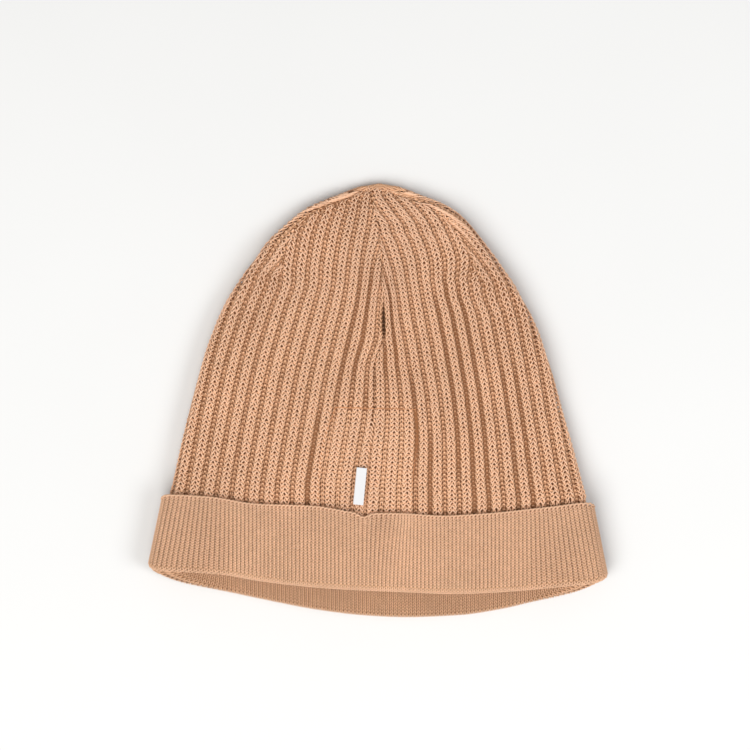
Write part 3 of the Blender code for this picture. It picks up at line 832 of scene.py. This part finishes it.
def make_bound_edge(material):
    """The chain of slanted loops along the cuff's free edge."""
    per_loop = 10
    turn = np.arange(CUFF_WALES * per_loop + 1) / per_loop
    share = (turn + 0.42 * np.sin(2 * math.pi * turn)) / CUFF_WALES
    point, normal = cuff_place(share, -0.15 - 0.5 * wave(turn))
    point = point + normal * (0.45 * np.sin(2 * math.pi * turn + 0.6))[:, None]
    rows = even_rows(keep_above(point, 0.45)[None], normal[None], 0.43, 0.8)
    return add_yarn("cuff_bound_edge_chain", rows, material, "cuff", "cuff_bound_edge")


def make_cuff_seam(material):
    """The closing stitches of the cuff's tube, down its front groove."""
    courses = np.arange(2, OUTER_COURSES - 1, 1)[:, None]
    share = by_row(SEAM_SHARE, CHANNEL_Y) + 0.0012 * STITCH + 0 * courses
    point, normal = cuff_place(share, courses + 0.35 * STITCH)
    rows = even_rows(point + normal * (0.12 - 0.35 * STITCH**2)[..., None], normal, 0.27, 0.4)
    return add_yarn("cuff_seam_stitches", rows, material, "cuff", "cuff_front_seam")


# ---- thin sheets behind the yarn


def closed_sheet(name, outer, inner, ring=False):
    """A closed thin sheet between two grids of points, which may join into a ring."""
    rows, columns = outer.shape[:2]
    index = np.arange(rows * columns).reshape(rows, columns)
    if ring:
        index = np.concatenate([index, index[:, :1]], axis=1)
    shift = rows * columns
    corners = index[:-1, :-1], index[:-1, 1:], index[1:, 1:], index[1:, :-1]
    front = np.stack(corners, axis=-1).reshape(-1, 4)
    back = front[:, [0, 3, 2, 1]] + shift
    if ring:
        rims = [index[0], index[-1][::-1]]
    else:
        loop = np.concatenate([index[0, :-1], index[:-1, -1], index[-1, :0:-1], index[:0:-1, 0]])
        rims = [np.append(loop, loop[0])]
    edges = [np.stack([r[1:], r[:-1], r[:-1] + shift, r[1:] + shift], axis=-1) for r in rims]
    faces = np.concatenate([front, back, *edges])
    vertices = np.concatenate([outer.reshape(-1, 3), inner.reshape(-1, 3)])
    corners = vertices[faces]
    normal = np.cross(corners[:, 1] - corners[:, 0], corners[:, 2] - corners[:, 0])
    if np.einsum("ij,ij->i", normal, corners[:, 0] - corners.mean(axis=(0, 1))).sum() < 0:
        faces = faces[:, ::-1]
    return build_mesh(name, vertices, [faces])


def add_sheet(name, place, depth, thick, material, body, node, ring=False):
    """A closed sheet behind places on a surface, which are (points, normals)."""
    point, normal = place
    outer = keep_above(point - normal * depth, LOWEST_SHEET)
    inner = keep_above(point - normal * (depth + thick), LOWEST_SHEET)
    return add_piece(name, closed_sheet(name, outer, inner, ring), material, body, node)


def crown_grid(start_share, end_share, columns):
    """Shares and heights on a grid between two lines, from the hem to the tip."""
    part = np.linspace(0, 1, columns)[None, :]
    share = by_row(start_share, -60) * (1 - part) + by_row(end_share, -60) * part
    bottom = knit_bottom(share) - 0.6
    y = bottom + (KNIT_TOP - bottom) * np.linspace(0, 1, 90)[:, None]
    return by_row(start_share, y) * (1 - part) + by_row(end_share, y) * part, y


def make_crown_backings(material, knit):
    """The knit's own thickness behind its yarn, as a sheet for each panel."""
    panels = (  # panel, lines that it lies between, columns, flat size and area
        ("crown_front_left", 0.5 * FLAT, SEAM_SHARE, 60, (0.095, 0.175), 0.0130),
        ("crown_front_right", SEAM_SHARE, 0 * FLAT, 60, (0.105, 0.175), 0.0140),
        ("crown_back", 0.5 * FLAT, 1 * FLAT, 120, (0.190, 0.185), 0.0280),
    )
    for panel, start_share, end_share, columns, flat, area in panels:
        share, y = crown_grid(start_share, end_share, columns)
        depth = CROWN_BACKING_DEPTH + 1.1 * slit_depth(share, y)[..., None]
        piece = add_sheet(panel + "_backing", surface(share, y), depth, BACKING_THICK, material,
                          "crown", panel + "_panel")


def make_cuff_backings(material, trims):
    """The same for the cuff, as a ring for each layer."""
    meeting = OUTER_COURSES + 2.4
    layers = (  # layer, courses that it lies between, rows, trims and flat size
        ("cuff_outer", 0.2, meeting, 44, trims, (0.374, 0.037)),
        ("cuff_inner", meeting + 0.1, ALL_CUFF_COURSES - 0.4, 40, [], (0.366, 0.033)),
    )
    share = np.linspace(0, 1, 240, endpoint=False)[None, :]
    for layer, first, last, rows, more, flat in layers:
        course = np.linspace(first, last, rows)[:, None]
        place = cuff_place(*np.broadcast_arrays(share, course))
        piece = add_sheet(layer + "_backing", place, CUFF_BACKING_DEPTH, BACKING_THICK, material,
                          "cuff", layer + "_layer", ring=True)


# ---- seams, patch, label and tip


def surface_thread(name, share, y, lift, radius, material, node):
    """A thread laid along the crown at a lift above its middle surface."""
    point, normal = surface(share, y)
    rows = even_rows(point + normal * lift[..., None], normal, radius, 0.6)
    return add_yarn(name, rows, material, "crown", node)


def make_seams(material):
    """Short linking stitches across each seam's groove, one at each course."""
    seams = (  # name, node, line, heights that it runs between, lift and radius
        ("centre_seam_stitches", "centre_seam", SEAM_SHARE, -46, 91, -0.62, 0.3),
        ("left_dart_stitches", "left_dart_seam", LEFT_DART_SHARE, 57, 89, -0.25, 0.28),
        ("right_dart_stitches", "right_dart_seam", RIGHT_DART_SHARE, 53, 89, -0.25, 0.28),
        ("back_dart_stitches", "back_dart_seam", BACK_SHARE, 30, 88, -0.1, 0.26),
    )
    for name, node, line_share, low, high, lift, radius in seams:
        y = np.arange(low, high, COURSE)[:, None] + 0.45 * STITCH
        share = by_row(line_share, y) + 0.5 * STITCH / turn_length(y)
        depth = lift - 0.35 * STITCH**2 - 1.3 * slit_depth(share, y)
        surface_thread(name, share, y, depth, radius, material, node)


def make_patch_stitching(material):
    """The stitch line up the patch's left side, along its top and down its right."""
    foot = PATCH_FOOT_Y + 0.5
    left_y, right_y = np.arange(foot, PATCH_TOP_Y, 0.25), np.arange(PATCH_TOP_Y, foot, -0.25)
    left, right = by_row(PATCH_LEFT_SHARE, left_y), by_row(PATCH_RIGHT_SHARE, right_y)
    share = np.concatenate([left, np.linspace(left[-1], right[0], 140), right])
    y = np.concatenate([left_y, np.linspace(PATCH_TOP_Y + 0.5, PATCH_TOP_Y - 0.5, 140), right_y])
    run = np.cumsum(np.hypot(360 * np.gradient(share), np.gradient(y)))
    dash = 0.14 * np.sin(2 * math.pi * run / 1.8)
    lift = crown_relief(rib_on_front(share, y), share, y) + 0.18 + 0.34 * (y > PATCH_TOP_Y - 0.6) + dash
    return surface_thread(
        "patch_stitch_line", share[None], y[None], lift[None], 0.2, material, "patch_stitching"
    )


def make_patch(cloth, thread):
    """The patch inside the front, and the stitch line that shows round it."""
    part = np.linspace(0, 1, 40)[None, :]
    y = np.linspace(PATCH_FOOT_Y, PATCH_TOP_Y, 36)[:, None] * np.ones_like(part)
    share = by_row(PATCH_RIGHT_SHARE, y) * (1 - part) + by_row(PATCH_LEFT_SHARE, y) * part
    depth = PATCH_DEPTH + 0.08 * np.sin(part * 70) * np.sin(y * 1.1)
    patch = add_sheet("inner_patch_cloth", surface(share, y), depth[..., None], PATCH_THICK, cloth,
                      "crown", "inner_patch")
    line = make_patch_stitching(thread)


def front_point(x, y, offset):
    share = np.interp(y, ROWS, shares_of(((x, -97), (x, TIP_Y))))
    point, normal = surface(share, y)
    return point + normal * offset


def label_path():
    """The folded tape's middle line: distances from the hinge and above it."""
    reach = LABEL_WIDTH - LABEL_FOLD_RADIUS
    layer = np.linspace(0.1, reach, 26)
    bend = np.linspace(-math.pi / 2, math.pi / 2, 13)[1:-1]
    out = np.concatenate([layer, reach + LABEL_FOLD_RADIUS * np.cos(bend), layer[::-1]])
    up = np.concatenate([-np.ones(26), np.sin(bend), np.ones(26)])
    return np.stack([out, LABEL_FOLD_RADIUS * up], axis=-1)


def make_label(tape, thread):
    """Two layers of tape from the seam, joined by a rounded fold."""
    foot, top = front_point(*LABEL_HINGE_FOOT, LABEL_LIFT), front_point(*LABEL_HINGE_TOP, LABEL_LIFT)
    across = unit(np.cross([0, 0, 1], unit(top - foot)))
    up = np.cross(unit(top - foot), across)
    path = label_path()
    tangent = unit(np.gradient(path, axis=0))
    side = np.stack([tangent[:, 1], -tangent[:, 0]], axis=-1)
    length = np.linspace(0, 1, 90)[:, None]
    end_round = 0.048 * smooth((np.abs(length - 0.5) - 0.46) / 0.04)
    sag = 0.12 * np.sin(math.pi * length) * path[:, 0] / LABEL_WIDTH
    weave = 0.012 * np.sin(90 * math.pi * length)

    def face(offset):
        out, above = (path + side * offset).T
        along = foot + (top - foot) * length
        height = above + weave * np.sign(offset) - sag
        return along[:, None] + across * (out - end_round)[..., None] + up * height[..., None]

    mesh = closed_sheet("woven_label_tape", face(LABEL_THICK / 2), face(-LABEL_THICK / 2))
    label = add_piece("woven_label_tape", mesh, tape, "label", "woven_label")
    make_label_stitches(thread)


def make_label_stitches(thread):
    """Short stitches under the label that hold it to the seam."""
    foot, top = np.array(LABEL_HINGE_FOOT), np.array(LABEL_HINGE_TOP)
    lift = 1.15 + 0.3 * np.sin(np.linspace(0, math.pi, 7))
    rows = []
    for start in np.linspace(0.05, 0.88, 8):
        line = foot + (top - foot) * np.linspace(start, start + 0.075, 7)[:, None]
        rows.append([front_point(x - 0.7, y, up) for (x, y), up in zip(line, lift)])
    points = np.array(rows)
    normals = np.broadcast_to([0, 0, 1], points.shape)
    add_yarn("label_stitches", even_rows(points, normals, 0.13, 0.7), thread, "crown",
             "label_stitching")


TIP_ROUNDS = (  # the last rounds of loops: height, reach, lift and width left by drawing together
    (93, 1, 0.15, 1), (94.2, 0.8, -0.25, 1), (93.6, 0.5, -0.5, 0.7), (93.4, 0.4, -0.5, 0.4),
    (93.2, 0.4, -0.5, 0.15), (92.8, 0.5, -0.8, 0.6), (92.6, 0.5, -0.8, 0.3),
)


def make_tip(material):
    """The gathered end of the crown: the last loops, drawn together round the tip."""
    per_loop, loops = 12, 16
    turn = np.arange(loops * per_loop + 1) / per_loop
    share = (turn + 0.3 * np.sin(4 * math.pi * turn)) / loops
    rounds = []
    for y, reach, lift, drawn_in in TIP_ROUNDS:
        point, normal = surface(share, y + reach * wave(turn))
        point = point + normal * (lift - 0.25 * wave(2 * turn))[:, None]
        middle = point.mean(axis=0)
        point[:, 0::2] = middle[0::2] + (point[:, 0::2] - middle[0::2]) * drawn_in
        rounds.append((point, normal))
    points, normals = np.array(rounds).transpose(1, 0, 2, 3)
    rows = even_rows(keep_above(points, 0.4), normals, 0.4, 0.55)
    add_yarn("crown_tip_gather", rows, material, "crown", "crown_tip_closure")


# ---- materials


def new_material(name):
    material = bpy.data.materials.new(name)
    material.use_nodes = True
    return material, material.node_tree, material.node_tree.nodes["Principled BSDF"]


def set_inputs(node, values):
    for name, value in values.items():
        node.inputs[name].default_value = value


def places(tree):
    """The object's coordinates, from one node that a material's textures share."""
    node = tree.nodes.get("place") or tree.nodes.new("ShaderNodeTexCoord")
    node.name = "place"
    return node.outputs["Object"]


def noise(tree, scale, detail=3, roughness=0.6):
    node = tree.nodes.new("ShaderNodeTexNoise")
    set_inputs(node, {"Scale": scale, "Detail": detail, "Roughness": roughness})
    link(places(tree), node, "Vector")
    return node.outputs["Fac"]


def link(value, node, name):
    node.id_data.links.new(value, node.inputs[name])


def ramp(tree, value, *stops):
    """A colour ramp, where each stop is (position, colour)."""
    node = tree.nodes.new("ShaderNodeValToRGB")
    elements = node.color_ramp.elements
    while len(elements) < len(stops):
        elements.new(0.5)
    for element, (position, colour) in zip(elements, stops):
        element.position = position
        element.color = (*colour, 1)
    link(value, node, "Fac")
    return node.outputs["Color"]


def multiply(tree, first, second):
    node = tree.nodes.new("ShaderNodeMix")
    node.data_type = "RGBA"
    node.blend_type = "MULTIPLY"
    node.inputs["Factor"].default_value = 1
    link(first, node, "A")
    link(second, node, "B")
    return node.outputs["Result"]


def bump(tree, shader, height, strength, distance):
    node = tree.nodes.new("ShaderNodeBump")
    set_inputs(node, {"Strength": strength, "Distance": distance})
    link(height, node, "Height")
    link(node.outputs["Normal"], shader, "Normal")


def grey(value):
    return (value, value, value)


def scaled(colour, factor):
    return tuple(part * factor for part in colour)


def yarn_material(name, base, deep, sheen=0.25):
    """Soft spun yarn: mottled, with painted shade down in the stitch and a painted highlight on its highest
    loops, from the tone attribute, and a fuzzy sheen.
    """
    material, tree, shader = new_material(name)
    mottle = ramp(tree, noise(tree, 900, 4, 0.7), (0.3, grey(0.84)), (0.7, grey(1.12)))
    batch = ramp(tree, noise(tree, 38, 2), (0.3, grey(0.95)), (0.7, grey(1.05)))
    tone = tree.nodes.new("ShaderNodeAttribute")
    tone.attribute_name = "tone"
    # The tone picks painted shade and light: the deep colour is painted shade, darkest at tone 0, and the
    # last stop is a painted highlight.
    painted_highlight = tuple(part + 0.1 * (1 - part) for part in base)
    stops = ((0, scaled(deep, 0.45)), (0.15, deep), (0.65, base), (1, painted_highlight))
    depth = ramp(tree, tone.outputs["Fac"], *stops)
    link(multiply(tree, multiply(tree, depth, mottle), batch), shader, "Base Color")
    bump(tree, shader, noise(tree, 3200, 3, 0.7), 0.5, 0.00012)
    set_inputs(shader, {"Roughness": 0.88, "Specular IOR Level": 0.25, "Sheen Weight": sheen})
    set_inputs(shader, {"Sheen Roughness": 0.5, "Sheen Tint": (1, 0.78, 0.6, 1)})
    return material


def mottled_material(name, texture, dark, light, roughness):
    """A dull surface between two colours; texture is what noise() takes."""
    material, tree, shader = new_material(name)
    colour = ramp(tree, noise(tree, *texture), (0.3, dark), (0.7, light))
    link(colour, shader, "Base Color")
    set_inputs(shader, {"Roughness": roughness, "Specular IOR Level": 0.1})
    return material, tree, shader


def backing_material(name, base):
    """The knit's body, seen between its stitches and inside the hat, in the dark colour of painted shade.
    """
    material, tree, shader = mottled_material(name, (700, 4, 0.7), scaled(base, 0.75), base, 0.95)
    bump(tree, shader, noise(tree, 1500), 0.6, 0.0003)
    return material


def woven_material(name, base, thread_scale, roughness=0.6):
    """Fine woven cloth: crossing threads as a checked bump and change of tone."""
    material, tree, shader = new_material(name)
    threads = []
    for direction in ("X", "Y"):
        node = tree.nodes.new("ShaderNodeTexWave")
        node.bands_direction = direction
        set_inputs(node, {"Scale": thread_scale, "Distortion": 0.6})
        link(places(tree), node, "Vector")
        threads.append(node.outputs["Color"])
    weave = multiply(tree, *threads)
    tone = ramp(tree, weave, (0, scaled(base, 0.9)), (0.6, base))
    link(tone, shader, "Base Color")
    bump(tree, shader, weave, 0.35, 0.00008)
    set_inputs(shader, {"Roughness": roughness, "Sheen Weight": 0.1})
    return material


# ---- stage, in metres


VIEW_WIDTH = 0.330
VIEW_CENTRE = (-0.0013, 0.0106)
VIEW_LEVEL = 0.008
LENS = 120
SENSOR = 36
FLOOR_REACH = 2.5
FLOOR_DARK = (0.765, 0.765, 0.76)
FLOOR_LIGHT = (0.78, 0.78, 0.775)
WORLD_STRENGTH = 0.40
LIGHTS = (  # name, place, size, power in watts and colour; all point at the origin
    ("key", (-0.5, -0.75, 1.5), 1.5, 25.5, (1, 0.99, 0.97)),
    ("fill", (1, -0.3, 1.2), 0.8, 9, (0.98, 0.99, 1)),
)


def make_camera():
    data = bpy.data.cameras.new("camera")
    data.lens = LENS
    data.sensor_width = SENSOR
    data.clip_start = 0.01
    data.clip_end = 20
    height = VIEW_LEVEL + VIEW_WIDTH * LENS / SENSOR
    bpy.context.scene.camera = add_to_scene("camera", data, (*VIEW_CENTRE, height))


def make_lights():
    for name, location, size, power, colour in LIGHTS:
        data = bpy.data.lights.new(name, "AREA")
        data.shape = "DISK"
        data.size = size
        data.energy = power
        data.color = colour
        light = add_to_scene(name, data, location)
        light.rotation_euler = (-Vector(location)).to_track_quat("-Z", "Y").to_euler()
    world = bpy.data.worlds.new("studio")
    world.use_nodes = True
    set_inputs(world.node_tree.nodes["Background"], {"Color": (1, 1, 1, 1), "Strength": WORLD_STRENGTH})
    bpy.context.scene.world = world
    bpy.context.scene.view_settings.view_transform = "Standard"


def make_floor():
    mesh = bpy.data.meshes.new("floor")
    corners = [(x * FLOOR_REACH, y * FLOOR_REACH, 0) for x, y in ((-1, -1), (1, -1), (1, 1), (-1, 1))]
    mesh.from_pydata(corners, [], [(0, 1, 2, 3)])
    material, _, _ = mottled_material("pale_floor", (6, 2), FLOOR_DARK, FLOOR_LIGHT, 0.9)
    mesh.materials.append(material)
    floor = add_to_scene("floor", mesh, (0, 0, -0.0002))


CAMEL = (0.84, 0.49, 0.29)
# The camel yarn's colour in its painted shade
PAINTED_SHADE_CAMEL = (0.29, 0.12, 0.047)


def main():
    make_camera()
    make_floor()
    make_lights()
    # The second colour of each yarn is its painted shade.
    rib_yarn = yarn_material("rib_yarn", CAMEL, PAINTED_SHADE_CAMEL)
    cuff_yarn = yarn_material("cuff_yarn", (0.74, 0.44, 0.265), PAINTED_SHADE_CAMEL)
    seam_yarn = yarn_material("seam_yarn", (0.62, 0.36, 0.2), (0.36, 0.18, 0.09))
    stitch_thread = yarn_material("stitch_thread", (0.70, 0.33, 0.16), (0.5, 0.22, 0.1), 0.1)
    label_thread = yarn_material("label_thread", (0.82, 0.81, 0.78), (0.7, 0.69, 0.66), 0.1)
    # The knit's bodies are painted in the dark colour of the shade between stitches.
    crown_body_painted_shade = backing_material("crown_body_painted_shade", (0.42, 0.19, 0.085))
    cuff_body_painted_shade = backing_material("cuff_body_painted_shade", (0.40, 0.19, 0.085))
    patch_cloth = woven_material("patch_cloth", (0.58, 0.34, 0.2), 1500, 0.9)
    tape = woven_material("label_tape", (0.78, 0.78, 0.79), 2600)
    make_crown_backings(crown_body_painted_shade, make_crown_knit(rib_yarn))
    cuff = make_cuff_knit(cuff_yarn)
    trims = [make_bound_edge(cuff_yarn), make_cuff_seam(seam_yarn)]
    make_cuff_backings(cuff_body_painted_shade, trims)
    make_seams(seam_yarn)
    make_patch(patch_cloth, stitch_thread)
    make_label(tape, label_thread)
    make_tip(rib_yarn)


main()
